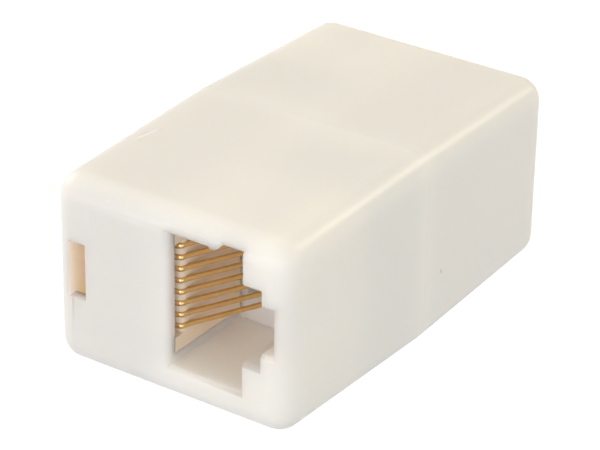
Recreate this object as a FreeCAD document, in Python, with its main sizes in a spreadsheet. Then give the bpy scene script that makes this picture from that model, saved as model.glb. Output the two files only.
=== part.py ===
import FreeCAD, Part

import math
import os
import re

import Sketcher

# Inline coupler for eight-way modular plugs, in millimetres.
#
# Two identical drafted half housings meet at mid-length and snap together. Each one has a plug
# port in one half of its end wall, with a stepped keyway for the plug's latch, and a small
# window in the other half. Turned about the vertical axis, the second half puts its port
# diagonally opposite, so that a flat contact carrier on the centre plane can hold eight straight
# spring wires that come out into both ports.
#
# Frame: X across the end wall, Y along the coupler, Z up. The origin is the centre of the
# bottom, at the seam. The front port opens towards -Y and lies on the +X side.

CONTACTS = 8
# how near two measures are when they count as the same
NEAR = 1e-3

DRIVING_SIZES = [
    # the housing's outside
    ("half_length", 19.2, "end wall's face to the seam"),
    ("end_width", 22.5, "width at the end walls"),
    ("end_height", 16.5, "height at the end walls"),
    ("seam_width", 23.0, "width at the seam, larger by the mould draft"),
    ("seam_height", 17.4, "height at the seam"),
    ("edge_radius", 2.05, "rounding of the long edges and round each end wall"),
    ("seam_bevel", 0.04, "edge break that makes the seam a fine line"),
    # the housing's walls
    ("end_wall", 1.0, "thickness of the end wall"),
    ("side_wall", 1.6, "thickness of the side walls"),
    ("roof_wall", 1.4, "thickness of the roof and the base"),
    ("partition", 1.0, "wall between the carrier and each hollow"),
    # the plug port
    ("port_rise", 0.9, "port's centre above the middle of the height"),
    ("port_side", 0.05, "port's inner wall from the centre plane"),
    ("port_width", 7.05, "inner wall to the keyway side"),
    ("port_height", 12.35, "opening along the row of contacts"),
    ("port_depth", 9.7, "end wall's face to the back wall"),
    ("back_wall", 1.2, "wall behind the port"),
    ("shoulder_width", 1.7, "keyway's first step, for the latch's shoulders"),
    ("shoulder_height", 6.75, "height of that step"),
    ("latch_width", 1.15, "keyway's second step, for the latch itself"),
    ("latch_height", 4.2, "height of that step"),
    ("guide_drop", 0.48, "how far the guide rib stands into the port"),
    ("guide_reach", 4.9, "guide rib's length from the inner wall"),
    ("guide_ramp", 1.1, "sloping end of that length"),
    ("mouth_radius", 0.6, "lead-in at the foot and inner side of the port"),
    ("step_radius", 0.45, "lead-in at the foot of each keyway step"),
    # contacts and their carrier
    ("contact_pitch", 1.016, "spacing of the wires"),
    ("wire_diameter", 0.45, "thickness of a contact wire, across its flats"),
    ("bend_radius", 0.4, "wire's centre line round the carrier's nose"),
    ("wire_slope", 26.5, "angle between the spring leg and the inner wall, in degrees"),
    ("tip_entry", 0.3, "wire's tip into its slot in the back wall"),
    ("tip_slot_depth", 0.7, "depth of the tip slots"),
    ("tip_travel", 3.4, "how far a plug can press the tip back in its slot"),
    ("wire_clearance", 0.03, "between a wire and its groove"),
    ("carrier_thickness", 1.15, "plate that the wires bend round"),
    ("carrier_margin", 1.85, "outermost wire's centre to the carrier's edge"),
    ("cheek_distance", 0.55, "outermost wire's centre to the cheek beside the row"),
    ("carrier_clearance", 0.05, "between the carrier and its seat"),
    ("nose_gap", 0.9, "end wall to the carrier's nose"),
    # window, catch and snap arm
    ("window_rise", 0.33, "window's centre above the middle of the height"),
    ("window_width", 1.65, "window from the side wall inwards"),
    ("window_height", 4.95, "height of the window and of the catch"),
    ("catch_height", 1.2, "how far the catch stands off the side wall"),
    ("catch_length", 2.5, "length of the catch"),
    ("catch_ramp", 1.5, "sloping part of that length"),
    ("catch_distance", 8.0, "seam to the near end of the catch"),
    ("arm_thickness", 1.1, "thickness of the snap arm"),
    ("arm_height", 4.4, "height of the snap arm"),
    ("arm_clearance", 0.15, "between the arm and the catch"),
    ("hook_clearance", 0.1, "between the hook's face and the catch"),
    ("crest_clearance", 0.25, "between the hook's crest and the side wall"),
    ("hook_length", 2.9, "length of the hook's head"),
    ("hook_land", 0.7, "straight part of that length"),
    ("hook_tip", 0.5, "blunt end of the hook's ramp"),
    ("root_depth", 0.5, "arm's root in the back wall"),
    ("root_flare", 0.7, "widening at the arm's root"),
    # locating lips
    ("lip_length", 1.6, "lip past the seam"),
    ("lip_thickness", 0.9, "thickness of the lip"),
    ("lip_clearance", 0.1, "between a lip and the other half"),
    ("lip_root", 3.0, "lip's hold on its own half"),
    ("lip_bed", 0.4, "lip's root in the wall"),
]

WORKED_OUT = [
    ("middle", "seam_height / 2"),
    ("end_side", "end_width / 2"),
    ("seam_side", "seam_width / 2"),
    ("end_base", "middle - end_height / 2"),
    ("end_roof", "middle + end_height / 2"),
    # hollows
    ("end_inside", "end_side - side_wall"),
    ("seam_inside", "seam_side - side_wall"),
    ("end_inside_base", "end_base + roof_wall"),
    ("end_inside_roof", "end_roof - roof_wall"),
    ("seam_inside_roof", "seam_height - roof_wall"),
    ("inner_end", "half_length - end_wall"),
    ("rear_of_port", "half_length - port_depth - back_wall"),
    ("rear_share", "rear_of_port / half_length"),
    ("rear_inside", "seam_inside + (end_inside - seam_inside) * rear_share"),
    ("rear_inside_base", "roof_wall + (end_inside_base - roof_wall) * rear_share"),
    ("rear_inside_roof", "seam_inside_roof + (end_inside_roof - seam_inside_roof) * rear_share"),
    # port
    ("port_centre", "middle + port_rise"),
    ("port_floor", "port_centre - port_height / 2"),
    ("port_roof", "port_centre + port_height / 2"),
    ("guide_foot", "port_roof - guide_drop"),
    ("guide_end", "port_side + guide_reach"),
    ("guide_turn", "guide_end - guide_ramp"),
    ("main_side", "port_side + port_width"),
    ("shoulder_side", "main_side + shoulder_width"),
    ("latch_side", "shoulder_side + latch_width"),
    ("shoulder_foot", "port_centre - shoulder_height / 2"),
    ("shoulder_head", "port_centre + shoulder_height / 2"),
    ("latch_foot", "port_centre - latch_height / 2"),
    ("latch_head", "port_centre + latch_height / 2"),
    # carrier and wires
    ("wire_radius", "wire_diameter / 2"),
    # half the width of one of the wire's eight flats
    ("wire_flat", "wire_radius * tan(22.5deg)"),
    ("groove_width", "wire_diameter + 2 * wire_clearance"),
    ("carrier_back", "carrier_thickness - port_side"),
    ("nose_radius", "carrier_thickness / 2"),
    ("nose_side", "carrier_back - nose_radius"),
    ("nose_tip", "inner_end - nose_gap"),
    ("nose_centre", "nose_tip - nose_radius"),
    ("bend_side", "carrier_back - wire_radius - bend_radius"),
    ("bend_centre", "nose_centre"),
    ("root_radius", "bend_radius - wire_radius - wire_clearance"),
    ("root_side", "wire_radius + wire_clearance"),
    ("row_height", "(CONTACTS - 1) * contact_pitch"),
    ("lowest_wire", "port_centre - row_height / 2"),
    ("carrier_height", "row_height + 2 * carrier_margin"),
    ("carrier_shoulder", "rear_of_port - carrier_clearance"),
    ("cheek_end", "inner_end - carrier_clearance"),
    ("cheek_height", "carrier_margin - cheek_distance"),
    ("slot_back", "carrier_back + carrier_clearance"),
    ("slot_front", "port_side + carrier_clearance"),
    ("hollow_side", "slot_back + partition"),
    ("tip_end", "half_length - port_depth - tip_entry"),
    ("tip_drop", "bend_centre + bend_radius * sin(wire_slope * 1deg) - tip_end"),
    ("tip_side", "bend_radius * cos(wire_slope * 1deg) - bend_side + tip_drop * tan(wire_slope * 1deg)"),
    ("tip_slot_end", "tip_side + wire_diameter"),
    ("tip_slot_start", "tip_slot_end - tip_travel"),
    ("wall_face", "half_length - port_depth"),
    ("groove_start", "root_radius * cos(wire_slope * 1deg) - bend_side"),
    ("groove_run", "(carrier_back - groove_start) / tan(wire_slope * 1deg)"),
    ("groove_exit", "bend_centre + root_radius * sin(wire_slope * 1deg) - groove_run"),
    ("groove_outside", "carrier_back + wire_diameter"),
    # window, catch and arm
    ("window_centre", "middle + window_rise"),
    ("window_inside", "end_inside - window_width"),
    ("window_foot", "window_centre - window_height / 2"),
    ("window_head", "window_centre + window_height / 2"),
    ("catch_end", "catch_distance + catch_length"),
    ("side_draft", "(end_inside - seam_inside) / half_length"),
    ("catch_foot", "seam_inside + side_draft * catch_distance"),
    ("catch_side", "catch_foot - catch_height"),
    ("catch_near_root", "catch_foot + side_wall / 2"),
    ("catch_far_root", "seam_inside + side_draft * catch_end + side_wall / 2"),
    ("arm_outside", "catch_side - arm_clearance"),
    ("arm_inside", "arm_outside - arm_thickness"),
    ("hook_start", "catch_end + hook_clearance"),
    ("hook_end", "hook_start + hook_length"),
    ("hook_crest", "hook_start + hook_land"),
    ("hook_side", "seam_inside + side_draft * hook_crest - crest_clearance"),
    ("hook_nose", "arm_inside + hook_tip"),
    ("catch_crest", "catch_distance + catch_ramp"),
    # lips
    ("lip_roof", "seam_inside_roof - lip_clearance"),
    ("lip_base", "roof_wall + lip_clearance"),
    ("lip_inside", "hollow_side + lip_clearance"),
    ("lip_outside", "arm_inside"),
]

document = FreeCAD.newDocument("inline_coupler")


def write_sizes():
    """Put the driving sizes and those worked out from them in one sheet."""
    sheet = document.addObject("Spreadsheet::Sheet", "Sizes")
    row = 1
    for name, number, meaning in DRIVING_SIZES:
        sheet.set("A%d" % row, meaning)
        sheet.set("B%d" % row, str(number))
        sheet.setAlias("B%d" % row, name)
        row += 1
    for name, formula in WORKED_OUT:
        sheet.set("B%d" % row, "=" + formula.replace("CONTACTS", str(CONTACTS)))
        sheet.setAlias("B%d" % row, name)
        row += 1
    document.recompute()
    return sheet


sizes = write_sizes()


def amount(words):
    """Return the value of a sum of sizes, such as "-half_length + end_wall"."""
    total = 0.0
    for term in words.replace(" - ", " + -").split(" + "):
        sign = -1.0 if term.startswith("-") else 1.0
        name = term.lstrip("-")
        total += 0.0 if name == "0" else sign * getattr(sizes, name)
    return total


def cells(words):
    """Return the same sum as an expression on the sheet."""
    return re.sub(r"([a-z_]+)", r"Sizes.\1", words)


def tie(thing, **properties):
    """Bind each named property of a feature to a sum of sizes."""
    for name, words in properties.items():
        thing.setExpression(name, cells(words))


def plane(body, role):
    """Return one of the body's own origin planes or axes."""
    for feature in body.Origin.OriginFeatures:
        if feature.Role == role:
            return feature
    raise ValueError("no origin feature " + role)


def new_body(label):
    """Start one piece of the coupler."""
    body = document.addObject("PartDesign::Body", label)
    body.Label = label
    return body


def new_sketch(body, name, role, height="0"):
    """Start a sketch on an origin plane, moved along the plane's normal."""
    sketch = body.newObject("Sketcher::SketchObject", name)
    sketch.AttachmentSupport = [(plane(body, role), "")]
    sketch.MapMode = "FlatFace"
    if height != "0":
        sketch.setExpression("AttachmentOffset.Base.z", cells(height))
    return sketch


def hold(sketch, geometry, point, across, up):
    """Fix a point of the sketch at two sums of sizes from its origin."""
    for kind, words in (("DistanceX", across), ("DistanceY", up)):
        number = sketch.addConstraint(
            Sketcher.Constraint(kind, -1, 1, geometry, point, amount(words)))
        if words != "0":
            sketch.setExpression("Constraints[%d]" % number, cells(words))


def give_radius(sketch, circle, words):
    """Fix the radius of a circle or an arc."""
    number = sketch.addConstraint(Sketcher.Constraint("Radius", circle, amount(words)))
    sketch.setExpression("Constraints[%d]" % number, cells(words))


def close_outline(sketch, corners, bends=None):
    """Draw a closed outline whose corners are sums of sizes.

    A side in bends is an arc, given by its centre. It turns the short way round, or
    outwards when it is half a circle."""
    bends = bends or {}
    spots = [FreeCAD.Vector(amount(across), amount(up), 0) for across, up in corners]
    count = len(spots)
    backwards = {}
    for place in range(count):
        start = spots[place]
        end = spots[(place + 1) % count]
        if place in bends:
            centre = FreeCAD.Vector(amount(bends[place][0]), amount(bends[place][1]), 0)
            from_angle = math.atan2(start.y - centre.y, start.x - centre.x)
            to_angle = math.atan2(end.y - centre.y, end.x - centre.x)
            half = abs(abs(to_angle - from_angle) - math.pi) < NEAR
            turn = (to_angle - from_angle) % (2 * math.pi)
            backwards[place] = half or turn > math.pi
            if backwards[place]:
                from_angle, to_angle = to_angle, from_angle
            circle = Part.Circle(centre, FreeCAD.Vector(0, 0, 1), start.distanceToPoint(centre))
            sketch.addGeometry(Part.ArcOfCircle(circle, from_angle, to_angle), False)
        else:
            sketch.addGeometry(Part.LineSegment(start, end), False)
    for place in range(count):
        following = (place + 1) % count
        end = 1 if backwards.get(place) else 2
        start = 2 if backwards.get(following) else 1
        sketch.addConstraint(Sketcher.Constraint("Coincident", place, end, following, start))
    for place in range(count):
        start = 2 if backwards.get(place) else 1
        hold(sketch, place, start, *corners[place])
    for place, centre in bends.items():
        # the arc's radius follows from its ends, so one of the centre's places is enough
        level = sketch.addConstraint(
            Sketcher.Constraint("DistanceY", -1, 1, place, 3, amount(centre[1])))
        sketch.setExpression("Constraints[%d]" % level, cells(centre[1]))


def polygon(body, name, role, corners, height="0"):
    """Draw a closed outline of straight lines on one of the origin planes."""
    sketch = new_sketch(body, name, role, height)
    close_outline(sketch, corners)
    return sketch


def pad(body, name, sketch, midplane=False, reverse=False, **properties):
    """Raise a sketch into a solid."""
    feature = body.newObject("PartDesign::Pad", name)
    feature.Profile = sketch
    feature.Midplane = midplane
    feature.Reversed = reverse
    tie(feature, **properties)
    return feature


def pocket(body, name, sketch, midplane=False, reverse=False, **properties):
    """Cut a sketch out of the solid, and make sure that it cut something."""
    before = body.Shape.Volume
    feature = body.newObject("PartDesign::Pocket", name)
    feature.Profile = sketch
    feature.Midplane = midplane
    feature.Reversed = reverse
    tie(feature, **properties)
    document.recompute()
    if body.Shape.Volume > before - NEAR:
        raise ValueError(name + " cuts nothing")
    return feature


def row_of(body, name, originals):
    """Repeat features upwards at the contacts' pitch."""
    row = body.newObject("PartDesign::LinearPattern", name)
    row.Originals = originals
    row.Direction = (plane(body, "Z_Axis"), [""])
    row.Occurrences = CONTACTS
    tie(row, Length="row_height")
    body.Tip = row
    document.recompute()
    return row


def edges_of(feature, chosen):
    """Name the edges of a feature that a test picks out."""
    names = []
    for number, edge in enumerate(feature.Shape.Edges, 1):
        if chosen(edge):
            names.append("Edge%d" % number)
    return names


def round_off(body, name, base, edges, radius):
    """Round the named edges of a feature."""
    feature = body.newObject("PartDesign::Fillet", name)
    feature.Base = (base, edges)
    tie(feature, Radius=radius)
    document.recompute()
    return feature


# ---------------------------------------------------------------- half housing


def drafted_shell(body):
    """Solid half with a true draft on all four sides and rounded edges."""
    shell = body.newObject("PartDesign::AdditiveWedge", "drafted_block")
    tie(shell, Xmin="-end_side", Xmax="end_side", Ymin="-half_length", Zmin="end_base",
        Zmax="end_roof", X2min="-seam_side", X2max="seam_side", Z2max="seam_height")
    shell.Ymax = 0
    shell.Z2min = 0
    document.recompute()

    outer_edges = edges_of(shell, lambda edge: edge.BoundBox.YMin < -NEAR)
    rounds = round_off(body, "outer_rounds", shell, outer_edges, "edge_radius")
    seam_edges = edges_of(rounds, lambda edge: edge.BoundBox.YMin > -NEAR)
    bevel = body.newObject("PartDesign::Chamfer", "seam_break")
    bevel.Base = (rounds, seam_edges)
    tie(bevel, Size="seam_bevel")
    document.recompute()


def hollows(body):
    """Core out the blank side from the seam, and the space behind the port."""
    blank = body.newObject("PartDesign::SubtractiveWedge", "blank_side_core")
    tie(blank, Xmin="-end_inside", Xmax="-hollow_side", Ymin="-inner_end",
        Zmin="end_inside_base", Zmax="end_inside_roof", X2min="-seam_inside",
        X2max="-hollow_side", Z2min="roof_wall", Z2max="seam_inside_roof")
    blank.Ymax = 0
    rear = body.newObject("PartDesign::SubtractiveWedge", "port_side_core")
    tie(rear, Xmin="hollow_side", Xmax="rear_inside", Ymin="-rear_of_port",
        Zmin="rear_inside_base", Zmax="rear_inside_roof", X2min="hollow_side",
        X2max="seam_inside", Z2min="roof_wall", Z2max="seam_inside_roof")
    rear.Ymax = 0
    document.recompute()


def plug_port(body):
    """Port with its keyway steps and guide rib, and lead-ins at its mouth."""
    sketch = new_sketch(body, "port_outline", "XZ_Plane", "half_length")
    corners = [
        ("port_side", "port_floor"), ("main_side", "port_floor"),
        ("main_side", "shoulder_foot"), ("shoulder_side", "shoulder_foot"),
        ("shoulder_side", "latch_foot"), ("latch_side", "latch_foot"),
        ("latch_side", "latch_head"), ("shoulder_side", "latch_head"),
        ("shoulder_side", "shoulder_head"), ("main_side", "shoulder_head"),
        ("main_side", "port_roof"), ("guide_end", "port_roof"),
        ("guide_turn", "guide_foot"), ("port_side", "guide_foot"),
    ]
    rib_end = corners.index(("guide_end", "port_roof"))
    close_outline(sketch, corners, {rib_end: ("guide_turn", "port_roof")})
    pocket(body, "port_cut", sketch, Length="port_depth")

    face = -amount("half_length") + NEAR
    floor = amount("port_floor")
    side = amount("port_side")
    steps = [amount("shoulder_foot"), amount("latch_foot")]

    def at_mouth(edge):
        box = edge.BoundBox
        foot = abs(box.ZMax - floor) < NEAR
        inner = abs(box.XMin - side) < NEAR and box.XLength < NEAR
        return box.YMax < face and (foot or inner)

    def at_step(edge):
        box = edge.BoundBox
        level = any(abs(box.ZMax - step) < NEAR for step in steps)
        return box.YMax < face and level and box.ZLength < NEAR

    edges = edges_of(body.Tip, at_mouth)
    round_off(body, "mouth_lead_in", body.Tip, edges, "mouth_radius")
    edges = edges_of(body.Tip, at_step)
    round_off(body, "step_lead_in", body.Tip, edges, "step_radius")


def tip_slots(body):
    """Comb of slots in the back wall that keeps the wires' free tips in line."""
    corners = [("tip_slot_start", "-wall_face"), ("tip_slot_end", "-wall_face"),
               ("tip_slot_end", "-wall_face + tip_slot_depth"),
               ("tip_slot_start", "-wall_face + tip_slot_depth")]
    sketch = polygon(body, "tip_slot", "XY_Plane", corners, "lowest_wire")
    slot = pocket(body, "tip_slot_cut", sketch, midplane=True, Length="groove_width")
    row_of(body, "tip_slots", [slot])


def carrier_seat(body):
    """Slot on the centre plane that the contact carrier slides into from the seam."""
    foot = "lowest_wire - carrier_margin - carrier_clearance"
    head = "lowest_wire + row_height + carrier_margin + carrier_clearance"
    for name, side, depth in (("deep_seat", "slot_front", "inner_end"),
                              ("wide_seat", "slot_back", "rear_of_port")):
        corners = [("-slot_back", foot), (side, foot), (side, head), ("-slot_back", head)]
        sketch = polygon(body, name, "XZ_Plane", corners)
        pocket(body, name + "_cut", sketch, reverse=True, Length=depth)


def window_and_catch(body):
    """Window in the end wall, through which the mould forms the catch behind it."""
    corners = [("-end_inside", "window_foot"), ("-window_inside", "window_foot"),
               ("-window_inside", "window_head"), ("-end_inside", "window_head")]
    sketch = polygon(body, "window", "XZ_Plane", corners, "half_length")
    pocket(body, "window_cut", sketch, Length="end_wall")
    corners = [("-catch_far_root", "-catch_end"), ("-catch_side", "-catch_end"),
               ("-catch_side", "-catch_crest"), ("-catch_foot", "-catch_distance"),
               ("-catch_near_root", "-catch_distance")]
    sketch = polygon(body, "catch_profile", "XY_Plane", corners, "window_centre")
    pad(body, "catch", sketch, midplane=True, Length="window_height")


def snap_arm(body):
    """Springy arm that reaches past the seam and hooks on the other half's catch."""
    corners = [
        ("arm_inside - root_flare", "-rear_of_port - root_depth"),
        ("arm_outside", "-rear_of_port - root_depth"), ("arm_outside", "hook_start"),
        ("hook_side", "hook_start"), ("hook_side", "hook_crest"), ("hook_nose", "hook_end"),
        ("arm_inside", "hook_end"), ("arm_inside", "-rear_of_port + root_flare"),
        ("arm_inside - root_flare", "-rear_of_port"),
    ]
    sketch = polygon(body, "arm_profile", "XY_Plane", corners, "window_centre")
    pad(body, "snap_arm", sketch, midplane=True, Length="arm_height")


def locating_lips(body):
    """Two lips that line up the halves, one under the roof and one over the base."""
    for name, face, towards in (("roof_lip", "lip_roof", ""), ("base_lip", "lip_base", "-")):
        bed = face + (" + lip_bed" if towards == "" else " - lip_bed")
        inner = face + (" - lip_thickness" if towards == "" else " + lip_thickness")
        corners = [("-lip_root", bed), ("-lip_clearance", bed), ("-lip_clearance", face),
                   ("lip_length", face), ("lip_length", inner), ("-lip_root", inner)]
        sketch = polygon(body, name + "_profile", "YZ_Plane", corners, "lip_inside")
        pad(body, name, sketch, Length="lip_outside - lip_inside")


def half_housing(label):
    """One of the two identical moulded halves."""
    body = new_body(label)
    drafted_shell(body)
    hollows(body)
    plug_port(body)
    tip_slots(body)
    carrier_seat(body)
    window_and_catch(body)
    snap_arm(body)
    locating_lips(body)
    return body


# ---------------------------------------------------------------- carrier and wires


def contact_carrier(label):
    """Flat insert with a comb at each nose, cheeks beside it and a groove for each wire."""
    body = new_body(label)
    foot = "lowest_wire - carrier_margin"
    corners = [
        ("-carrier_back", "-nose_centre"), ("-carrier_back", "carrier_shoulder"),
        ("-port_side", "carrier_shoulder"), ("-port_side", "nose_centre"),
        ("carrier_back", "nose_centre"), ("carrier_back", "-carrier_shoulder"),
        ("port_side", "-carrier_shoulder"), ("port_side", "-nose_centre"),
    ]
    sketch = new_sketch(body, "carrier_plan", "XY_Plane", foot)
    noses = {3: ("nose_side", "nose_centre"), 7: ("-nose_side", "-nose_centre")}
    close_outline(sketch, corners, noses)
    pad(body, "carrier_block", sketch, Length="carrier_height")
    for name, level in (("lower", foot), ("upper", "lowest_wire + row_height + cheek_distance")):
        for end, back, face in (("front", "-", ""), ("rear", "", "-")):
            corners = [(back + "carrier_back", back + "nose_centre"),
                       (face + "port_side", back + "nose_centre"),
                       (face + "port_side", back + "cheek_end"),
                       (back + "carrier_back", back + "cheek_end")]
            sketch = polygon(body, name + "_" + end + "_cheek_plan", "XY_Plane", corners, level)
            pad(body, name + "_" + end + "_cheek", sketch, Length="cheek_height")
    document.recompute()
    groove = pocket(body, "groove_cut", groove_outline(body), midplane=True,
                    Length="groove_width")
    row = body.newObject("PartDesign::LinearPattern", "groove_row")
    row.Direction = (plane(body, "Z_Axis"), [""])
    row.Occurrences = CONTACTS
    tie(row, Length="row_height")
    turn = body.newObject("PartDesign::PolarPattern", "both_ends")
    turn.Axis = (plane(body, "Z_Axis"), [""])
    turn.Angle = 360
    turn.Occurrences = 2
    grooves = body.newObject("PartDesign::MultiTransform", "grooves")
    grooves.Originals = [groove]
    grooves.Transformations = [row, turn]
    body.Tip = grooves
    document.recompute()
    return body


def groove_outline(body):
    """Plan of one wire's groove: all that lies outside the root it bends round."""
    sketch = new_sketch(body, "groove", "XY_Plane", "lowest_wire")
    centre = FreeCAD.Vector(-amount("bend_side"), -amount("bend_centre"), 0)
    radius = amount("root_radius")
    slope = math.radians(sizes.wire_slope)
    lean = math.asin((radius + amount("root_side")) / centre.Length)
    start = math.pi + lean
    circle = Part.Circle(centre, FreeCAD.Vector(0, 0, 1), radius)
    sketch.addGeometry(Part.ArcOfCircle(circle, start, 2 * math.pi - slope), False)
    corners = [("root_side", "0"), ("-groove_outside", "0"), ("-groove_outside", "-half_length"),
               ("carrier_back", "-half_length"), ("carrier_back", "-groove_exit")]
    spots = [FreeCAD.Vector(amount(across), amount(up), 0) for across, up in corners]
    touch_back = centre + FreeCAD.Vector(math.cos(start), math.sin(start), 0) * radius
    touch_front = centre + FreeCAD.Vector(math.cos(slope), -math.sin(slope), 0) * radius
    ends = [touch_back] + spots + [touch_front]
    for place in range(len(ends) - 1):
        sketch.addGeometry(Part.LineSegment(ends[place], ends[place + 1]), False)
    last = len(ends) - 1
    for place in range(1, last):
        sketch.addConstraint(Sketcher.Constraint("Coincident", place, 2, place + 1, 1))
        hold(sketch, place, 2, *corners[place - 1])
    sketch.addConstraint(Sketcher.Constraint("Tangent", 0, 1, 1, 1))
    sketch.addConstraint(Sketcher.Constraint("Tangent", 0, 2, last, 2))
    hold(sketch, 0, 3, "-bend_side", "-bend_centre")
    give_radius(sketch, 0, "root_radius")
    return sketch


def contact_wire(number):
    """Spring wire: one run through the carrier, bent back into each port.

    Its section has eight flats, which face the groove's walls and root squarely."""
    body = new_body("contact_wire_%d" % (number + 1))
    path = new_sketch(body, "wire_path_%d" % (number + 1), "XY_Plane", "0")
    level = "Sizes.lowest_wire + %d * Sizes.contact_pitch" % number
    path.setExpression("AttachmentOffset.Base.z", level)
    radius = amount("bend_radius")
    slope = math.radians(sizes.wire_slope)
    centre = FreeCAD.Vector(-amount("bend_side"), -amount("bend_centre"), 0)
    tip = FreeCAD.Vector(amount("tip_side"), -amount("tip_end"), 0)
    lean = math.asin(radius / centre.Length) - math.atan2(-centre.x, -centre.y)
    start = math.pi - lean
    touch_front = centre + FreeCAD.Vector(math.cos(slope), -math.sin(slope), 0) * radius
    touch_back = centre + FreeCAD.Vector(math.cos(start), math.sin(start), 0) * radius
    front_bend = Part.Circle(centre, FreeCAD.Vector(0, 0, 1), radius)
    rear_bend = Part.Circle(-centre, FreeCAD.Vector(0, 0, 1), radius)
    path.addGeometry(Part.LineSegment(tip, touch_front), False)
    path.addGeometry(Part.ArcOfCircle(front_bend, start, 2 * math.pi - slope), False)
    path.addGeometry(Part.LineSegment(touch_back, -touch_back), False)
    path.addGeometry(Part.ArcOfCircle(rear_bend, start - math.pi, math.pi - slope), False)
    path.addGeometry(Part.LineSegment(-touch_front, -tip), False)
    path.addConstraint(Sketcher.Constraint("Tangent", 0, 2, 1, 2))
    path.addConstraint(Sketcher.Constraint("Tangent", 1, 1, 2, 1))
    path.addConstraint(Sketcher.Constraint("Tangent", 2, 2, 3, 1))
    path.addConstraint(Sketcher.Constraint("Tangent", 3, 2, 4, 1))
    hold(path, 0, 1, "tip_side", "-tip_end")
    hold(path, 1, 3, "-bend_side", "-bend_centre")
    hold(path, 3, 3, "bend_side", "bend_centre")
    hold(path, 4, 2, "-tip_side", "tip_end")
    give_radius(path, 1, "bend_radius")
    give_radius(path, 3, "bend_radius")
    document.recompute()

    section = body.newObject("Sketcher::SketchObject", "wire_section_%d" % (number + 1))
    section.AttachmentSupport = [(path, "Edge1")]
    section.MapMode = "NormalToEdge"
    flats = [("wire_radius", "-wire_flat"), ("wire_radius", "wire_flat"),
             ("wire_flat", "wire_radius"), ("-wire_flat", "wire_radius"),
             ("-wire_radius", "wire_flat"), ("-wire_radius", "-wire_flat"),
             ("-wire_flat", "-wire_radius"), ("wire_flat", "-wire_radius")]
    close_outline(section, flats)
    wire = body.newObject("PartDesign::AdditivePipe", "formed_wire_%d" % (number + 1))
    wire.Profile = section
    wire.Spine = (path, ["Edge%d" % edge for edge in range(1, 6)])
    document.recompute()
    return body


def write_pieces(pieces):
    """Check the whole document, then write each piece to its own file."""
    document.recompute()
    for thing in document.Objects:
        if "Invalid" in thing.State or "Error" in thing.State:
            raise ValueError(thing.Name + " failed")
    for piece in pieces:
        if piece.Shape.isNull() or not piece.Shape.isValid():
            raise ValueError(piece.Label + " has no valid shape")
        if len(piece.Shape.Solids) != 1:
            raise ValueError(piece.Label + " is not one solid")
    os.makedirs("parts", exist_ok=True)
    for piece in pieces:
        piece.Shape.exportStep("parts/%s.step" % piece.Label)


front_housing = half_housing("front_housing")
rear_housing = half_housing("rear_housing")
half_turn = FreeCAD.Rotation(FreeCAD.Vector(0, 0, 1), 180)
rear_housing.Placement = FreeCAD.Placement(FreeCAD.Vector(0, 0, 0), half_turn)
carrier = contact_carrier("contact_carrier")
wires = [contact_wire(number) for number in range(CONTACTS)]
write_pieces([front_housing, rear_housing, carrier] + wires)
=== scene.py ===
import math

import bmesh
import bpy
from bpy.props import FloatProperty, FloatVectorProperty, IntProperty, PointerProperty
from mathutils import Matrix, Vector


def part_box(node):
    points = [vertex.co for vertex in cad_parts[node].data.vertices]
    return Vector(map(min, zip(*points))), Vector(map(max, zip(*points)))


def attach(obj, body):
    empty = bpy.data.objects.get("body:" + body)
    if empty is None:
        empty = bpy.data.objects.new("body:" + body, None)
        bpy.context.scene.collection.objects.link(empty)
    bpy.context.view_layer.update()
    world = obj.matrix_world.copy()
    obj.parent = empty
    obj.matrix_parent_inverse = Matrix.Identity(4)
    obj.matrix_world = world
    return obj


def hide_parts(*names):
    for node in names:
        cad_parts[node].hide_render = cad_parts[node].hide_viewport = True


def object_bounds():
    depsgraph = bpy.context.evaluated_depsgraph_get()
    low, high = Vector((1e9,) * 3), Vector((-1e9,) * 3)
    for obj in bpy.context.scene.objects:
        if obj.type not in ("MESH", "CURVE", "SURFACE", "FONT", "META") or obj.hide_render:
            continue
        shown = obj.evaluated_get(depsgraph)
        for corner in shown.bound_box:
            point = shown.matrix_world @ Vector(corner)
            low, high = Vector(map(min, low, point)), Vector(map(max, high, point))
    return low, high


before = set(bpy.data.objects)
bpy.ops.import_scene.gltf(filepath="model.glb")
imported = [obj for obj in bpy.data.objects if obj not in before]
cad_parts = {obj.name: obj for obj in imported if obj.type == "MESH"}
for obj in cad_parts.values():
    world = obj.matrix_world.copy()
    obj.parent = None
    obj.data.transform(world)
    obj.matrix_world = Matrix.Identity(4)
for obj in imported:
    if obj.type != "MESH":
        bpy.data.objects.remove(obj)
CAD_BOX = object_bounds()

bl_info = {
    "name": "Inline Coupler Finish",
    "version": (1, 0, 0),
    "blender": (4, 5, 0),
    "location": "View3D > Sidebar > Coupler",
    "description": "Finishes a modular plug coupler: moulded halves, carrier, spring wires, studio",
    "category": "Object",
}

MM = 0.001
# two vertices nearer than this are one
WELD = 1e-7
# faces that meet more gently than this are one flat face
FLAT_ANGLE = math.radians(0.4)
# a point this near to the end wall's plane lies in it
END_WALL_SLACK = 0.012 * MM
# a face looks along an axis when its normal has more than this of it
FACING = 0.5
ROOT = "root"
# each half: the finished piece and the CAD node that it stands for
HALVES = (("front_shell", "front_housing"), ("rear_shell", "rear_housing"))
CARRIER_NODE = "contact_carrier"
WIRE_NODE = "contact_wire_%d"
WIRE_COUNT = sum(1 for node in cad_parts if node.startswith("contact_wire_"))
# material slots of a half, after the moulding itself
# the seam's slot takes a material that glows with painted light
SEAM_SLOT = 1
# the window wall's slot takes a brighter copy of the moulding that glows with painted light
GLOW_WALL_SLOT = 2

# share of the named colour at the two ends of the slow colour drift
IVORY_DRIFT = (0.985, 1.01)
CARRIER_DRIFT = (0.94, 1.0)
# red, green and blue that tarnish leaves of the gold
TARNISH = (0.86, 0.80, 0.70)
# how far the grain moves the roughness down and up
IVORY_POLISH_SPAN = (-0.05, 0.07)
GOLD_POLISH_SPAN = (-0.05, 0.08)
# texture repeats in a metre, across and along a drawn wire
DRAW_LINES = (3000, 180, 3000)
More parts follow.
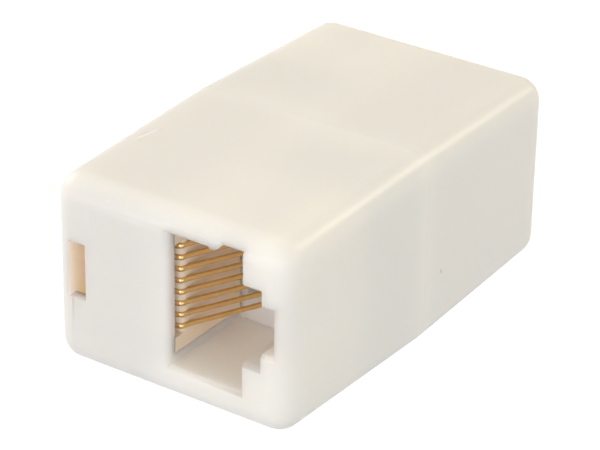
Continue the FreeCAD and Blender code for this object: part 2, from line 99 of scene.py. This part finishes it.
# depth of the bump that the grain and the marks make
GRAIN_RELIEF = 0.01 * MM
MARK_RELIEF = 0.05 * MM
# a mark reaches at least this many millimetres into the moulding, so that a curved wall
# shows it whole, and is at full strength over this share of its width
MARK_REACH = 0.5
MARK_CORE = 0.2
IVORY_IOR = 1.46
BLACK = (0, 0, 0, 1)
WHITE = (1, 1, 1, 1)
# the camera's nearest distance and half the floor's width, in metres, and the frame's
# width in millimetres
CAMERA_NEAR = 0.01
FLOOR_HALF = 3.0
FRAME_WIDTH = 36


# each softbox: name, azimuth and elevation in degrees, distance and side in metres, and
# watts of red, green and blue
SOFTBOXES = (
    ("window_box", -46, 47, 0.5, 0.30, (0.10, 0.07, 0.05)),
    ("low_left_box", -14, 4, 0.5, 0.28, (0.67, 0.66, 0.67)),
    ("low_box", 20, 4, 0.5, 0.28, (0.73, 0.72, 0.73)),
    ("low_right_box", 54, 4, 0.5, 0.28, (0.13, 0.13, 0.15)),
    ("low_side_box", 82, 8, 0.5, 0.24, (0.06, 0.06, 0.08)),
    ("back_box", 147, 30, 0.5, 0.14, (0.46, 0.40, 0.31)),
    ("flank_box", -95, 25, 0.5, 0.30, (0.78, 0.70, 0.72)),
)


# each mark on the moulding: name, place in millimetres, lean about X, Y and Z in degrees,
# length and half width in millimetres, and strength. A raised stroke, which glows with
# painted light, has a positive strength, and a cut one, darkened with painted shade, a
# negative strength
MARKS = (
    # the scuff is real wear: its white strokes glow with painted light, and its shadow and dark
    # strokes are painted shade
    ("scuff upper stroke", (-8.90, -9.35, 17.1), (0, 0, 80), 2.4, 0.19, 2.0),
    ("scuff middle stroke", (-9.05, -10.2, 17.1), (0, 0, 74), 1.3, 0.16, 1.6),
    ("scuff shadow", (-9.25, -9.75, 17.1), (0, 0, 80), 1.7, 0.10, -0.35),
    ("scuff lower stroke", (-8.85, -10.75, 17.1), (0, 0, 98), 1.6, 0.10, -0.35),
    ("scuff end", (-8.55, -8.5, 17.1), (0, 0, 70), 0.8, 0.12, -0.35),
    ("side pit", (11.4, 2.45, 5.9), (0, 90, 0), 0.5, 0.14, -3.0),
    # a raised line by the seam on the right side, whose glow is a painted highlight
    ("seam side painted highlight", (11.4, 0.9, 3.6), (0, 90, 0), 4.2, 0.10, 0.35),
    ("end wall tick", (10.75, -19.0, 7.8), (0, 0, 0), 1.1, 0.07, 0.7),
    # a painted glint on the front top edge
    ("brow painted glint", (-5.8, -18.9, 16.3), (0, 0, 0), 0.7, 0.12, 0.8),
    ("end wall line", (-3.1, -19.2, 15.3), (0, 3, 0), 2.6, 0.06, 0.3),
    ("window side line", (-7.66, -19.2, 14.2), (0, 90, 0), 2.4, 0.07, 0.25),
)


# ---------------------------------------------------------------- settings


class HousingSettings(bpy.types.PropertyGroup):
    """Finish of the two moulded halves and of the carrier between them."""

    ivory: FloatVectorProperty(
        name="Ivory", description="Colour of the moulded halves", subtype="COLOR",
        size=3, min=0, max=1, default=(0.985, 0.92, 0.895))
    depth_tint: FloatVectorProperty(
        name="Depth tint", description="Colour of the light that comes through the plastic",
        subtype="COLOR", size=3, min=0, max=1, default=(1.0, 0.90, 0.80))
    carrier: FloatVectorProperty(
        name="Carrier", description="Colour of the contact carrier", subtype="COLOR",
        size=3, min=0, max=1, default=(0.98, 0.84, 0.68))
    # painted glow on every raised mark: it shows the scuff's real whitening, the brow glint and the
    # highlight by the seam
    raised_mark_painted_glow: FloatVectorProperty(
        name="Scuff white", description="Light that a scuffed ridge scatters on top",
        subtype="COLOR", size=3, min=0, max=1, default=(0.10, 0.11, 0.14))
    # painted shade that darkens every cut mark
    cut_painted_shade: FloatVectorProperty(
        name="Mark shade", description="Colour in a cut mark", subtype="COLOR", size=3,
        min=0, max=1, default=(0.72, 0.66, 0.60))
    roughness: FloatProperty(
        name="Roughness", description="Roughness of the moulded surface", subtype="FACTOR",
        min=0, max=1, default=0.34)
    glow: FloatProperty(
        name="Glow", description="Share of light that scatters inside the plastic",
        subtype="FACTOR", min=0, max=1, default=1.0)
    glow_depth: FloatProperty(
        name="Glow depth", description="How far light travels inside the plastic",
        unit="LENGTH", precision=5, default=2.2 * MM)
    grain_size: FloatProperty(
        name="Grain size", description="Size of the fine mould texture", unit="LENGTH",
        precision=5, default=0.12 * MM)
    edge_softness: FloatProperty(
        name="Edge softness", description="Rounding of the edges round the openings",
        unit="LENGTH", precision=5, default=0.12 * MM)
    rim_run: FloatProperty(
        name="Rim run", description="Shortest edge of a rim that is rounded",
        unit="LENGTH", precision=5, default=0.4 * MM)
    rim_angle: FloatProperty(
        name="Rim angle", description="A rim turns by more than this", subtype="ANGLE",
        default=math.radians(60))
    flat_reach: FloatProperty(
        name="Flat reach", description="From the middle to the end wall's rounded corners",
        unit="LENGTH", precision=5, default=9.3 * MM)
    # a brighter copy of the moulding for the window wall's inner faces: longer scatter and a
    # painted glow
    thin_tint: FloatVectorProperty(
        name="Thin wall tint", description="Colour of the light through the window's wall",
        subtype="COLOR", size=3, min=0, max=1, default=(1.0, 0.62, 0.34))
    # painted glow: an emission on those faces that stands in for light through the wall
    thin_wall_painted_glow: FloatVectorProperty(
        name="Thin wall light", description="Daylight that comes through the window's wall",
        subtype="COLOR", size=3, min=0, max=1, default=(0.11, 0.045, 0.005))
    thin_glow: FloatProperty(
        name="Thin wall glow", description="How far light travels in the wall at the window",
        unit="LENGTH", precision=5, default=9.0 * MM)
    window_near: FloatProperty(
        name="Window near", description="From the middle to the window's near edge",
        unit="LENGTH", precision=5, default=7.8 * MM)
    window_far: FloatProperty(
        name="Window far", description="From the middle to past the window's far edge",
        unit="LENGTH", precision=5, default=10.2 * MM)
    window_depth: FloatProperty(
        name="Window depth", description="Depth that shows through the window",
        unit="LENGTH", precision=5, default=15.0 * MM)
    seam_lip: FloatProperty(
        name="Seam lip", description="Depth of the lip along the seam", unit="LENGTH",
        precision=5, default=0.06 * MM)
    seam_gap: FloatProperty(
        name="Seam gap", description="Gap between the halves", unit="LENGTH",
        precision=5, default=0.012 * MM)
    # the seam faces glow with painted light: its colour, its strength, its strength just under the
    # top, and the heights over which it rises
    seam_glow_tint: FloatVectorProperty(
        name="Seam tint", description="Colour of the light that crosses the seam",
        subtype="COLOR", size=3, min=0, max=1, default=(1.0, 0.94, 0.82))
    seam_painted_glow: FloatProperty(
        name="Seam light", description="Strength of the light that crosses the seam",
        min=0, default=0.68)
    seam_top_painted_glow: FloatProperty(
        name="Seam top light", description="Strength of that light just under the top",
        min=0, default=0.79)
    seam_rise: FloatProperty(
        name="Seam rise", description="Height at which the light at the seam starts to rise",
        unit="LENGTH", precision=5, default=13.5 * MM)
    seam_top: FloatProperty(
        name="Seam top", description="Height at which it is at its strongest",
        unit="LENGTH", precision=5, default=16.5 * MM)
    smooth_angle: FloatProperty(
        name="Smooth angle", description="Faces that meet more gently than this are one curve",
        subtype="ANGLE", default=math.radians(24))


class ContactSettings(bpy.types.PropertyGroup):
    """Shape and plating of the spring wires."""

    gold: FloatVectorProperty(
        name="Gold", description="Colour of the plating", subtype="COLOR", size=3,
        min=0, max=1, default=(0.93, 0.66, 0.32))
    polish: FloatProperty(
        name="Polish roughness", description="Roughness of the plating", subtype="FACTOR",
        min=0, max=1, default=0.16)
    sides: IntProperty(
        name="Sides", description="Sides of a wire's section", min=6, default=20)
    bend_steps: IntProperty(
        name="Bend steps", description="Rings round one bend", min=4, default=18)
    bend_radius: FloatProperty(
        name="Bend radius", description="Radius of a wire's centre line at the bend",
        unit="LENGTH", precision=5, default=0.4 * MM)
    spring_slope: FloatProperty(
        name="Spring slope", description="Angle of a spring leg to the coupler's length",
        subtype="ANGLE", default=math.radians(26.5))
    tip_distance: FloatProperty(
        name="Tip distance", description="From the mid-plane to a wire's tip",
        unit="LENGTH", precision=5, default=9.2 * MM)
    tip_round: FloatProperty(
        name="Tip rounding", description="Rounding of the cut end of a wire",
        unit="LENGTH", precision=5, default=0.05 * MM)
    smooth_angle: FloatProperty(
        name="Smooth angle", description="Faces that meet more gently than this are one curve",
        subtype="ANGLE", default=math.radians(40))


class StudioSettings(bpy.types.PropertyGroup):
    """Camera, lights and floor."""

    azimuth: FloatProperty(
        name="Azimuth", description="Direction of the view round the coupler",
        subtype="ANGLE", default=math.radians(33.884))
    elevation: FloatProperty(
        name="Elevation", description="Height of the view above the floor",
        subtype="ANGLE", default=math.radians(28.076))
    roll: FloatProperty(
        name="Roll", description="Lean of the camera", subtype="ANGLE",
        default=math.radians(0.975))
    distance: FloatProperty(
        name="Distance", description="From the camera to the point it looks at",
        unit="LENGTH", precision=4, default=0.22658)
    aim: FloatVectorProperty(
        name="Aim", description="Point that the camera looks at, from the coupler's centre",
        subtype="TRANSLATION", size=3, precision=5,
        default=(-0.22 * MM, -0.70 * MM, -0.87 * MM))
    lens: FloatProperty(
        name="Lens", description="Focal length on a 36 mm wide frame", min=1,
        default=166.08)
    room_light: FloatVectorProperty(
        name="Room light", description="Colour and strength of the light from all round",
        subtype="COLOR", size=3, min=0, default=(0.66, 0.63, 0.54))
    floor_light: FloatProperty(
        name="Floor light", description="Strength of the light table under the coupler",
        min=0, default=0.27)
    floor_white: FloatProperty(
        name="Floor white", description="Strength of the light table where it is looked at",
        min=0, default=1.0)
    floor_shade: FloatProperty(
        name="Floor shade", description="How much light the table's own surface gives back",
        min=0, max=1, default=0.2)


# ---------------------------------------------------------------- materials


def feed(tree, socket, value):
    """Link a socket to the value, or set it where the value is a plain one."""
    if isinstance(value, bpy.types.NodeSocket):
        tree.links.new(value, socket)
    else:
        socket.default_value = value


def fill(tree, node, inputs):
    """Link or set the inputs of a node by their names."""
    for name, value in inputs.items():
        feed(tree, node.inputs[name], value)


def add(tree, kind, inputs=None, **settings):
    """Add one node, with its own settings and the values of its inputs."""
    node = tree.nodes.new(kind)
    for name, value in settings.items():
        setattr(node, name, value)
    fill(tree, node, inputs or {})
    return node


def place_group(tree, group, inputs):
    """Put a node group into a material, with this material's own values."""
    return add(tree, "ShaderNodeGroup", inputs, node_tree=group)


def new_group(name, inputs, outputs):
    """Start a node group with named sockets, and return its tree and end nodes."""
    tree = bpy.data.node_groups.new(name, "ShaderNodeTree")
    for label, kind, default in inputs:
        socket = tree.interface.new_socket(label, in_out="INPUT", socket_type=kind)
        if default is not None:
            socket.default_value = default
    for label, kind in outputs:
        tree.interface.new_socket(label, in_out="OUTPUT", socket_type=kind)
    start = tree.nodes.new("NodeGroupInput")
    end = tree.nodes.new("NodeGroupOutput")
    return tree, start, end


def reckon(tree, kind, operation, *values):
    """Add one Math or Vector Math node that reads the values in order."""
    node = add(tree, kind, operation=operation)
    for socket, value in zip(node.inputs, values):
        feed(tree, socket, value)
    return node


def math_node(tree, operation, *values):
    """Work out one number and return it."""
    return reckon(tree, "ShaderNodeMath", operation, *values).outputs["Value"]


def vector_node(tree, operation, *values):
    """Work out one vector and return it."""
    return reckon(tree, "ShaderNodeVectorMath", operation, *values).outputs["Vector"]


def opaque(colour):
    """A colour with an alpha of 1."""
    return (*colour, 1)


def blend(tree, factor, first, second):
    """Mix two colours and return the mix."""
    node = add(tree, "ShaderNodeMix", {"Factor": factor, "A": first, "B": second},
               data_type="RGBA")
    # the colour socket comes after the float and the vector ones
    return node.outputs[2]


def spread(tree, value, low, high):
    """Spread a value from 0 to 1 over a range and return it."""
    node = add(tree, "ShaderNodeMapRange", {"Value": value, "To Min": low, "To Max": high})
    return node.outputs["Result"]


def drifted(tree, drift, colour, shares):
    """A colour that drifts between two shares of itself, none above 1."""
    ends = [opaque(min(1.0, part * share) for part in colour) for share in shares]
    return blend(tree, drift, *ends)


def object_place(tree):
    """Where a point lies on the finished piece."""
    return add(tree, "ShaderNodeTexCoord").outputs["Object"]


def mould_grain_group():
    """Fine mould texture and slow colour drift, both on object coordinates."""
    tree, start, end = new_group(
        "Mould Grain",
        [("Grain Size", "NodeSocketFloat", 0.12 * MM),
         ("Drift Size", "NodeSocketFloat", 9.0 * MM)],
        [("Grain", "NodeSocketFloat"), ("Drift", "NodeSocketFloat")])
    place = object_place(tree)
    fine = math_node(tree, "DIVIDE", 1.0, start.outputs["Grain Size"])
    slow = math_node(tree, "DIVIDE", 1.0, start.outputs["Drift Size"])
    grain = add(tree, "ShaderNodeTexNoise",
                {"Vector": place, "Scale": fine, "Detail": 3.0, "Roughness": 0.6})
    drift = add(tree, "ShaderNodeTexNoise",
                {"Vector": place, "Scale": slow, "Detail": 2.0, "Roughness": 0.5})
    tree.links.new(grain.outputs["Fac"], end.inputs["Grain"])
    tree.links.new(drift.outputs["Fac"], end.inputs["Drift"])
    return tree


def mark_group():
    """One thin stroke: 1 along its middle, fading to 0 at its edges and ends."""
    tree, start, end = new_group(
        "Stroke Mark",
        [("Place", "NodeSocketVector", None), ("Lean", "NodeSocketVector", None),
         ("Size", "NodeSocketVector", None)],
        [("Mark", "NodeSocketFloat")])
    from_middle = vector_node(tree, "SUBTRACT", object_place(tree), start.outputs["Place"])
    along = add(tree, "ShaderNodeVectorRotate",
                {"Vector": from_middle, "Rotation": start.outputs["Lean"]},
                rotation_type="EULER_XYZ", invert=True)
    share = vector_node(tree, "DIVIDE", along.outputs["Vector"], start.outputs["Size"])
    reach = reckon(tree, "ShaderNodeVectorMath", "LENGTH", share)
    fade = add(tree, "ShaderNodeMapRange",
               {"Value": reach.outputs["Value"], "From Min": 1.0, "From Max": MARK_CORE},
               interpolation_type="SMOOTHSTEP")
    tree.links.new(fade.outputs["Result"], end.inputs["Mark"])
    return tree


def all_marks(tree, group, sign):
    """Add up the marks that stand proud (sign 1) or are cut in (sign -1)."""
    total = None
    for _, place, lean, length, half_width, strength in MARKS:
        if strength * sign <= 0:
            continue
        stroke = place_group(tree, group, {
            "Place": Vector(place) * MM,
            "Lean": [math.radians(part) for part in lean],
            "Size": Vector((length / 2, half_width, max(half_width, MARK_REACH))) * MM})
        height = math_node(tree, "MULTIPLY", stroke.outputs["Mark"], abs(strength))
        total = height if total is None else math_node(tree, "ADD", total, height)
    return total


def new_material(name):
    """Start a material and return it with its tree and shader."""
    material = bpy.data.materials.new(name)
    material.use_nodes = True
    tree = material.node_tree
    return material, tree, tree.nodes["Principled BSDF"]


def ivory_plastic(settings, grain_group, stroke_group, name, glow_depth, depth_tint,
                  painted_glow=(0.0, 0.0, 0.0)):
    """Moulded ivory plastic: satin gloss, fine grain, light scattering inside, cut marks darkened
    with painted shade, and raised marks, and the whole face where a glow is given, glowing with
    painted light.
    """
    material, tree, shader = new_material(name)
    grain = place_group(tree, grain_group, {"Grain Size": settings.grain_size})
    raised_and_painted_glow = all_marks(tree, stroke_group, 1)
    cut_and_painted_shade = all_marks(tree, stroke_group, -1)
    ivory = drifted(tree, grain.outputs["Drift"], settings.ivory, IVORY_DRIFT)
    low, high = (settings.roughness + part for part in IVORY_POLISH_SPAN)
    grained = add(tree, "ShaderNodeBump", {"Strength": 0.06, "Distance": GRAIN_RELIEF,
                                           "Height": grain.outputs["Grain"]})
    marked = add(tree, "ShaderNodeBump", {"Strength": 0.5, "Distance": MARK_RELIEF,
                                          "Height": math_node(tree, "SUBTRACT", raised_and_painted_glow, cut_and_painted_shade),
                                          "Normal": grained.outputs["Normal"]})
    fill(tree, shader, {
        # painted shade: cut marks take the darker mark colour
        "Base Color": blend(tree, cut_and_painted_shade, ivory, opaque(settings.cut_painted_shade)),
        "Roughness": spread(tree, grain.outputs["Drift"], low, high),
        # painted light: raised marks glow with the marks' painted glow, the rest with the painted
        # glow given, none on the main moulding
        "Emission Color": blend(tree, raised_and_painted_glow, opaque(painted_glow),
                                opaque(settings.raised_mark_painted_glow)),
        "Emission Strength": 1.0,
        "Normal": marked.outputs["Normal"],
        "Subsurface Weight": settings.glow,
        "Subsurface Radius": depth_tint,
        "Subsurface Scale": glow_depth,
        "IOR": IVORY_IOR})
    return material


def painted_glow_seam(settings):
    """The hidden seam faces glow with painted light, stronger towards the top, in place of the
    light that the other half would pass on.
    """
    material, tree, shader = new_material("Ivory Seam Painted Glow")
    place = add(tree, "ShaderNodeSeparateXYZ", {"Vector": object_place(tree)})
    rise = add(tree, "ShaderNodeMapRange",
               {"Value": place.outputs["Z"], "From Min": settings.seam_rise,
                "From Max": settings.seam_top})
    low, high = (opaque(part * light for part in settings.seam_glow_tint)
                 for light in (settings.seam_painted_glow, settings.seam_top_painted_glow))
    fill(tree, shader, {"Base Color": BLACK, "Specular IOR Level": 0.0,
                        "Emission Color": blend(tree, rise.outputs["Result"], low, high),
                        "Emission Strength": 1.0})
    return material


def carrier_plastic(settings, grain_group):
    """Plain off-white plastic of the insert."""
    material, tree, shader = new_material("Carrier Moulding")
    grain = place_group(tree, grain_group,
                        {"Grain Size": settings.grain_size, "Drift Size": 4.0 * MM})
    bump = add(tree, "ShaderNodeBump", {"Strength": 0.08, "Distance": GRAIN_RELIEF,
                                        "Height": grain.outputs["Grain"]})
    fill(tree, shader, {
        "Base Color": drifted(tree, grain.outputs["Drift"], settings.carrier, CARRIER_DRIFT),
        "Normal": bump.outputs["Normal"],
        "Roughness": 0.5,
        "Subsurface Weight": 0.3,
        "Subsurface Radius": settings.depth_tint,
        "Subsurface Scale": 0.3 * MM})
    return material


def gold_plating(settings):
    """Thin gold over drawn wire, with faint lines along the draw."""
    material, tree, shader = new_material("Gold Plating")
    along = add(tree, "ShaderNodeMapping",
                {"Vector": object_place(tree), "Scale": DRAW_LINES})
    lines = add(tree, "ShaderNodeTexNoise",
                {"Vector": along.outputs["Vector"], "Scale": 1.0, "Detail": 2.0})
    tarnish = [part * left for part, left in zip(settings.gold, TARNISH)]
    low, high = (settings.polish + part for part in GOLD_POLISH_SPAN)
    fill(tree, shader, {
        "Base Color": blend(tree, lines.outputs["Fac"], opaque(tarnish),
                            opaque(settings.gold)),
        "Roughness": spread(tree, lines.outputs["Fac"], low, high),
        "Metallic": 1.0})
    return material


# ---------------------------------------------------------------- pieces


def finish_piece(form, name, material, slot, *nodes):
    """Turn a bmesh into a piece that stands for the CAD nodes."""
    mesh = bpy.data.meshes.new(name)
    form.to_mesh(mesh)
    form.free()
    piece = bpy.data.objects.new(name, mesh)
    bpy.context.scene.collection.objects.link(piece)
    mesh.materials.append(material)
    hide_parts(*nodes)
    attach(piece, ROOT)
    return piece


def smooth_curves(piece, angle):
    """Shade curves smooth, keep true edges sharp and flat faces flat."""
    piece.data.polygons.foreach_set("use_smooth", [True] * len(piece.data.polygons))
    piece.data.set_sharp_from_angle(angle=angle)
    weighted = piece.modifiers.new("Flat faces stay flat", "WEIGHTED_NORMAL")
    weighted.keep_sharp = True
    weighted.weight = 100


def merged_copy(node):
    """Copy a CAD node with its triangles merged into whole flat faces."""
    form = bmesh.new()
    form.from_mesh(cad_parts[node].data)
    bmesh.ops.remove_doubles(form, verts=form.verts, dist=WELD)
    bmesh.ops.dissolve_limit(form, angle_limit=FLAT_ANGLE, verts=form.verts,
                             edges=form.edges)
    return form


def end_of(form):
    """From the seam to the end wall of a half, and the half's side: 1 towards +Y or -1."""
    side = math.copysign(1, sum(point.co.y for point in form.verts))
    return max(abs(point.co.y) for point in form.verts), side


def close_seam(form, settings):
    """Bring the lip of a half up to the seam, a hair from the other half."""
    _, side = end_of(form)
    lip = [point for point in form.verts if abs(point.co.y) < settings.seam_lip]
    bmesh.ops.scale(form, verts=lip, vec=(1, 0, 1))
    bmesh.ops.translate(form, verts=lip, vec=(0, side * settings.seam_gap / 2, 0))
    # the seam faces take the material that glows with painted light
    seam = set(lip)
    for face in form.faces:
        if seam.issuperset(face.verts):
            face.material_index = SEAM_SLOT


def soften_rims(form, settings):
    """Round the straight edges of the mouth and of the window in the flat end wall."""
    end, _ = end_of(form)
    rims = [edge for edge in form.edges
            if edge.calc_length() > settings.rim_run
            and edge.calc_face_angle(0) > settings.rim_angle
            and all(end - abs(point.co.y) < END_WALL_SLACK
                    and abs(point.co.x) < settings.flat_reach for point in edge.verts)]
    bmesh.ops.bevel(form, geom=rims, offset=settings.edge_softness, affect="EDGES",
                    segments=3, profile=0.5, material=-1)


def glow_the_window_wall(form, settings):
    """Mark the inner faces of the wall that shows through the window for the brighter copy of the
    moulding, which scatters further and glows with painted light.
    """
    end, side = end_of(form)
    for face in form.faces:
        middle = face.calc_center_median()
        across = middle.x * side
        if (settings.window_near < across < settings.window_far
                and end - abs(middle.y) < settings.window_depth
                and face.normal.x * side < -FACING):
            face.material_index = GLOW_WALL_SLOT


def spring_wire(number, settings, material):
    """One wire: spring leg, front bend, run through the carrier, rear bend, spring leg."""
    node = WIRE_NODE % number
    low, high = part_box(node)
    level = (low.z + high.z) / 2
    radius = (high.z - low.z) / 2
    slope = settings.spring_slope
    bend = settings.bend_radius
    bend_level = -low.y - radius - bend
    tip_side = high.x - radius * math.cos(slope)
    drop = bend_level + bend * math.sin(slope) - settings.tip_distance
    bend_side = bend * math.cos(slope) + drop * math.tan(slope) - tip_side
    centre = Vector((-bend_side, -bend_level, level))
    opposite = Vector((bend_side, bend_level, level))
    tip = Vector((tip_side, -settings.tip_distance, level))
    lean = math.asin(bend / centre.xy.length) - math.atan2(bend_side, bend_level)
    around = math.pi - slope + lean
    front_touch = centre + bend * Vector((math.cos(slope), -math.sin(slope), 0))
    back_touch = centre + bend * Vector((-math.cos(lean), math.sin(lean), 0))
    half_turn = Vector((-1, -1, 1))

    form = bmesh.new()
    heading = front_touch - tip
    turn = heading.to_track_quat("Z", "Y").to_matrix().to_4x4()
    bmesh.ops.create_circle(form, segments=settings.sides, radius=radius,
                            matrix=Matrix.Translation(tip) @ turn)
    first_ring = list(form.edges)

    def run(ring, step):
        made = bmesh.ops.extrude_edge_only(form, edges=ring)["geom"]
        points = [part for part in made if isinstance(part, bmesh.types.BMVert)]
        bmesh.ops.translate(form, verts=points, vec=step)
        return [part for part in made if isinstance(part, bmesh.types.BMEdge)
                and all(point in points for point in part.verts)]

    def round_bend(ring, middle, angle):
        last = bmesh.ops.spin(form, geom=ring, cent=middle, axis=(0, 0, 1), angle=angle,
                              steps=settings.bend_steps)["geom_last"]
        return [part for part in last if isinstance(part, bmesh.types.BMEdge)]

    ring = run(first_ring, heading)
    ring = round_bend(ring, centre, -around)
    ring = run(ring, back_touch * half_turn - back_touch)
    ring = round_bend(ring, opposite, around)
    last_ring = run(ring, tip * half_turn - front_touch * half_turn)
    for ends in (first_ring, last_ring):
        bmesh.ops.contextual_create(form, geom=ends)
    bmesh.ops.bevel(form, geom=first_ring + last_ring, offset=settings.tip_round,
                    affect="EDGES", segments=2, profile=0.5, material=-1)
    bmesh.ops.recalc_face_normals(form, faces=form.faces)
    return finish_piece(form, "spring_wire_%d" % number, material, "contacts", node)


class COUPLER_OT_halves(bpy.types.Operator):
    """Give the two moulded halves their finish"""

    bl_idname = "coupler.halves"
    bl_label = "Moulded Halves"

    def execute(self, context):
        settings = context.scene.coupler_housing
        grain = mould_grain_group()
        stroke = mark_group()
        material = ivory_plastic(settings, grain, stroke, "Ivory Moulding",
                                 settings.glow_depth, settings.depth_tint)
        # the seam faces glow with painted light
        seam_glow_material = painted_glow_seam(settings)
        # a brighter copy with a painted glow, for the wall seen through the window
        glow_wall_material = ivory_plastic(settings, grain, stroke, "Ivory Thin Wall Painted Glow",
                                      settings.thin_glow, settings.thin_tint,
                                      settings.thin_wall_painted_glow)
        for name, node in HALVES:
            form = merged_copy(node)
            close_seam(form, settings)
            glow_the_window_wall(form, settings)
            soften_rims(form, settings)
            piece = finish_piece(form, name, material, "housing", node)
            piece.data.materials.append(seam_glow_material)
            piece.data.materials.append(glow_wall_material)
            smooth_curves(piece, settings.smooth_angle)
        return {"FINISHED"}


class COUPLER_OT_carrier(bpy.types.Operator):
    """Finish the insert that holds the wires"""

    bl_idname = "coupler.carrier"
    bl_label = "Contact Carrier"

    def execute(self, context):
        settings = context.scene.coupler_housing
        material = carrier_plastic(settings, bpy.data.node_groups["Mould Grain"])
        piece = finish_piece(merged_copy(CARRIER_NODE), "comb_carrier", material, "carrier",
                             CARRIER_NODE)
        smooth_curves(piece, settings.smooth_angle)
        return {"FINISHED"}


class COUPLER_OT_wires(bpy.types.Operator):
    """Form the spring wires and plate them"""

    bl_idname = "coupler.wires"
    bl_label = "Spring Wires"

    def execute(self, context):
        settings = context.scene.coupler_contacts
        material = gold_plating(settings)
        for number in range(1, WIRE_COUNT + 1):
            piece = spring_wire(number, settings, material)
            smooth_curves(piece, settings.smooth_angle)
        return {"FINISHED"}


# ---------------------------------------------------------------- studio


def aim_at(thing, target, azimuth, elevation, distance, roll=0.0):
    """Stand a camera or lamp at an angle and distance from a point and turn it there."""
    turn = (Matrix.Rotation(azimuth, 3, "Z") @ Matrix.Rotation(math.pi / 2 - elevation, 3, "X")
            @ Matrix.Rotation(roll, 3, "Z"))
    thing.location = target + turn @ Vector((0, 0, distance))
    thing.rotation_euler = turn.to_euler()


def softbox(name, target, azimuth, elevation, distance, size, light):
    """A square area lamp, hidden from the camera, with its watts of red, green and blue."""
    lamp = bpy.data.lights.new(name, "AREA")
    lamp.size = size
    lamp.energy = max(light)
    lamp.color = [part / lamp.energy for part in light]
    thing = bpy.data.objects.new(name, lamp)
    thing.visible_camera = False
    bpy.context.scene.collection.objects.link(thing)
    aim_at(thing, target, math.radians(azimuth), math.radians(elevation), distance)


def light_table(settings):
    """A floor that is white where it is looked at and dimmer as a light."""
    material, tree, shader = new_material("Light Table")
    path = add(tree, "ShaderNodeLightPath")
    looked_at = math_node(tree, "MAXIMUM", path.outputs["Is Camera Ray"],
                          path.outputs["Is Glossy Ray"])
    fill(tree, shader, {
        "Base Color": opaque(3 * (settings.floor_shade,)),
        "Roughness": 1.0,
        "Specular IOR Level": 0.0,
        "Emission Color": WHITE,
        "Emission Strength": spread(tree, looked_at, settings.floor_light,
                                    settings.floor_white)})
    return material


def light_the_room(settings):
    """Even light from all round, behind a white backdrop."""
    world = bpy.data.worlds.new("Studio")
    world.use_nodes = True
    room = world.node_tree
    looked_at = add(room, "ShaderNodeLightPath").outputs["Is Camera Ray"]
    wall = blend(room, looked_at, opaque(settings.room_light), WHITE)
    fill(room, room.nodes["Background"], {"Color": wall})
    bpy.context.scene.world = world


def lay_floor(level, material):
    """A wide plain floor at a level."""
    form = bmesh.new()
    bmesh.ops.create_grid(form, x_segments=1, y_segments=1, size=FLOOR_HALF,
                          matrix=Matrix.Translation((0, 0, level)))
    mesh = bpy.data.meshes.new("floor")
    form.to_mesh(mesh)
    form.free()
    mesh.materials.append(material)
    floor = bpy.data.objects.new("floor", mesh)
    bpy.context.scene.collection.objects.link(floor)


def stand_camera(centre, settings):
    """The camera that the scene is seen through."""
    lens = bpy.data.cameras.new("camera")
    lens.lens = settings.lens
    lens.sensor_width = FRAME_WIDTH
    lens.clip_start = CAMERA_NEAR
    camera = bpy.data.objects.new("camera", lens)
    bpy.context.scene.collection.objects.link(camera)
    aim_at(camera, centre + Vector(settings.aim), settings.azimuth, settings.elevation,
           settings.distance, settings.roll)
    bpy.context.scene.camera = camera


class COUPLER_OT_studio(bpy.types.Operator):
    """Set up the floor, the lights and the camera"""

    bl_idname = "coupler.studio"
    bl_label = "Studio"

    def execute(self, context):
        settings = context.scene.coupler_studio
        low, high = CAD_BOX
        centre = (low + high) / 2
        lay_floor(low.z, light_table(settings))
        light_the_room(settings)
        for name, azimuth, elevation, distance, size, light in SOFTBOXES:
            softbox(name, centre, azimuth, elevation, distance, size, light)
        stand_camera(centre, settings)
        context.scene.view_settings.view_transform = "Standard"
        return {"FINISHED"}


class COUPLER_PT_panel(bpy.types.Panel):
    """The coupler's operators and settings in the sidebar"""

    bl_idname = "COUPLER_PT_panel"
    bl_label = "Inline Coupler"
    bl_space_type = "VIEW_3D"
    bl_region_type = "UI"
    bl_category = "Coupler"

    def draw(self, context):
        for operator in OPERATORS:
            self.layout.operator(operator.bl_idname)
        for group in (context.scene.coupler_housing, context.scene.coupler_contacts,
                      context.scene.coupler_studio):
            box = self.layout.box()
            for name in group.bl_rna.properties.keys():
                if name not in ("rna_type", "name"):
                    box.prop(group, name)


SETTINGS = (("coupler_housing", HousingSettings), ("coupler_contacts", ContactSettings),
            ("coupler_studio", StudioSettings))
OPERATORS = (COUPLER_OT_halves, COUPLER_OT_carrier, COUPLER_OT_wires, COUPLER_OT_studio)


def register():
    """Add the settings, the operators and the panel to Blender."""
    for name, group in SETTINGS:
        bpy.utils.register_class(group)
        setattr(bpy.types.Scene, name, PointerProperty(type=group))
    for operator in OPERATORS:
        bpy.utils.register_class(operator)
    bpy.utils.register_class(COUPLER_PT_panel)


def unregister():
    """Take the panel, the operators and the settings out of Blender."""
    bpy.utils.unregister_class(COUPLER_PT_panel)
    for operator in reversed(OPERATORS):
        bpy.utils.unregister_class(operator)
    for name, group in reversed(SETTINGS):
        delattr(bpy.types.Scene, name)
        bpy.utils.unregister_class(group)


def main():
    """Build the whole scene."""
    register()
    bpy.ops.coupler.halves()
    bpy.ops.coupler.carrier()
    bpy.ops.coupler.wires()
    bpy.ops.coupler.studio()


if __name__ == "__main__":
    main()
